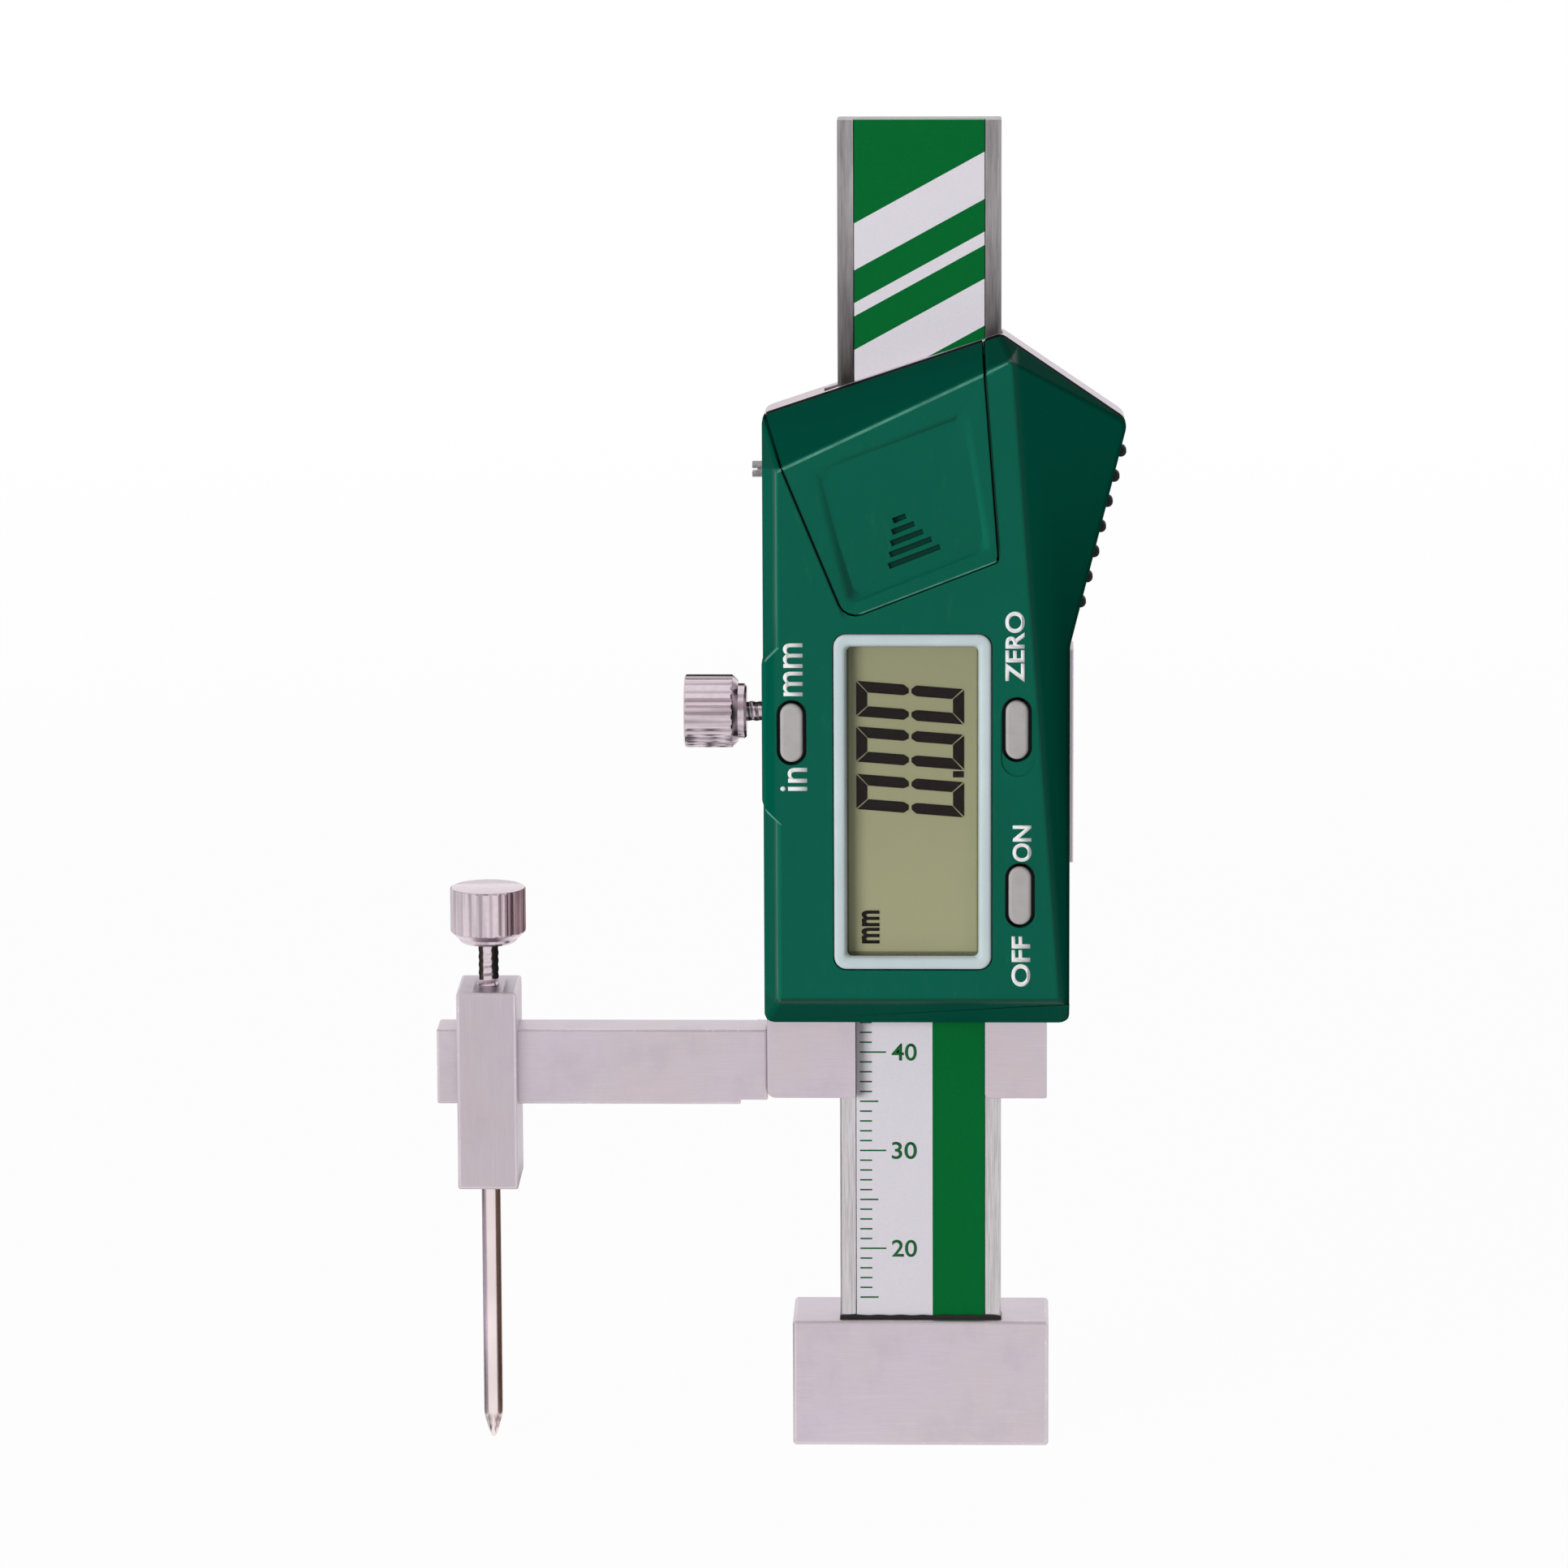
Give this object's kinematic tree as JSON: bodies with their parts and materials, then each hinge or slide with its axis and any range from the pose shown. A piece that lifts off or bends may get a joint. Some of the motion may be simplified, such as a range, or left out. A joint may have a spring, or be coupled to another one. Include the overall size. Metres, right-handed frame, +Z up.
{
  "type": "digital height gauge",
  "caption": "Digital height gauge: a beam on a ground base block carries a slider with a readout, an arm and a clamped measuring needle.",
  "frame": {"origin": "on the underside of the base block, on the beam's centre line, in the beam's middle plane", "axes": "+Z up along the beam, +X to the right seen from the display side, +Y to the back, away from the display"},
  "size_m": [0.0682, 0.02, 0.1326],
  "materials": {
    "ground_steel": "ground satin",
    "beam_steel": "ground satin",
    "knurled_steel": "turned and knurled",
    "needle_steel": "hardened and polished",
    "bright_screw": "bright",
    "dark_screw": "blackened",
    "black_sealant": "matt",
    "board_laminate": "satin",
    "scale_print": "gloss print",
    "bronze": "satin",
    "green_plastic": "satin",
    "grip_rubber": "matt",
    "bezel_plastic": "satin",
    "clear_window": "clear",
    "lcd": "reflective glass",
    "strip_rubber": "matt",
    "chip_resin": "matt",
    "cell_can": "nickel",
    "contact_spring": "plated",
    "button_plastic": "satin"
  },
  "bodies": {
    "base": {"base_block": "ground_steel", "base_screws": "dark_screw", "beam": "beam_steel", "beam_seal": "black_sealant", "scale_board": "board_laminate", "scale_label": "scale_print", "travel_stop": "bright_screw"},
    "slider": {"slider_frame": "ground_steel", "back_plate": "ground_steel", "back_screws": "bright_screw", "gib": "bronze", "gib_screws": "bright_screw", "arm": "ground_steel", "arm_screws": "bright_screw", "housing": "green_plastic", "thumb_grip": "grip_rubber", "display_bezel": "bezel_plastic", "display_window": "clear_window", "lcd_glass": "lcd", "contact_strips": "strip_rubber", "circuit_board": "board_laminate", "controller_chip": "chip_resin", "key_domes": "strip_rubber", "battery_cell": "cell_can", "battery_contacts": "contact_spring"},
    "battery_cover": {"battery_cover": "green_plastic"},
    "unit_button": {"unit_button": "button_plastic"},
    "zero_button": {"zero_button": "button_plastic"},
    "power_button": {"power_button": "button_plastic"},
    "lock_screw": {"lock_screw": "knurled_steel"},
    "clamp": {"clamp_block": "ground_steel", "needle": "needle_steel"},
    "clamp_screw": {"clamp_screw": "knurled_steel"}
  },
  "joints": [
    {"name": "slider_travel", "type": "slide", "parent": "base", "child": "slider", "axis": [0, 0, 1], "range_m": [-0.02, 0.02]},
    {"name": "battery_cover_slide", "type": "slide", "parent": "slider", "child": "battery_cover", "axis": [-0.3584, 0, 0.9336], "range_m": [0, 0.024]},
    {"name": "unit_button_press", "type": "slide", "parent": "slider", "child": "unit_button", "axis": [0, 1, 0], "range_m": [0, 0.0006], "stiffness_N_per_m": 400},
    {"name": "zero_button_press", "type": "slide", "parent": "slider", "child": "zero_button", "axis": [0, 1, 0], "range_m": [0, 0.0006], "stiffness_N_per_m": 400},
    {"name": "power_button_press", "type": "slide", "parent": "slider", "child": "power_button", "axis": [0, 1, 0], "range_m": [0, 0.0006], "stiffness_N_per_m": 400},
    {"name": "lock_screw_turn", "type": "hinge", "parent": "slider", "child": "lock_screw", "pos_m": [-0.0205, 0, 0.07405], "axis": [-1, 0, 0], "range_deg": [0, 540]},
    {"name": "clamp_slide", "type": "slide", "parent": "slider", "child": "clamp", "axis": [1, 0, 0], "range_m": [-0.0035, 0.023]},
    {"name": "clamp_screw_turn", "type": "hinge", "parent": "clamp", "child": "clamp_screw", "pos_m": [-0.0429, 0.0005, 0.0515], "axis": [0, 0, 1], "range_deg": [0, 540]}
  ]
}
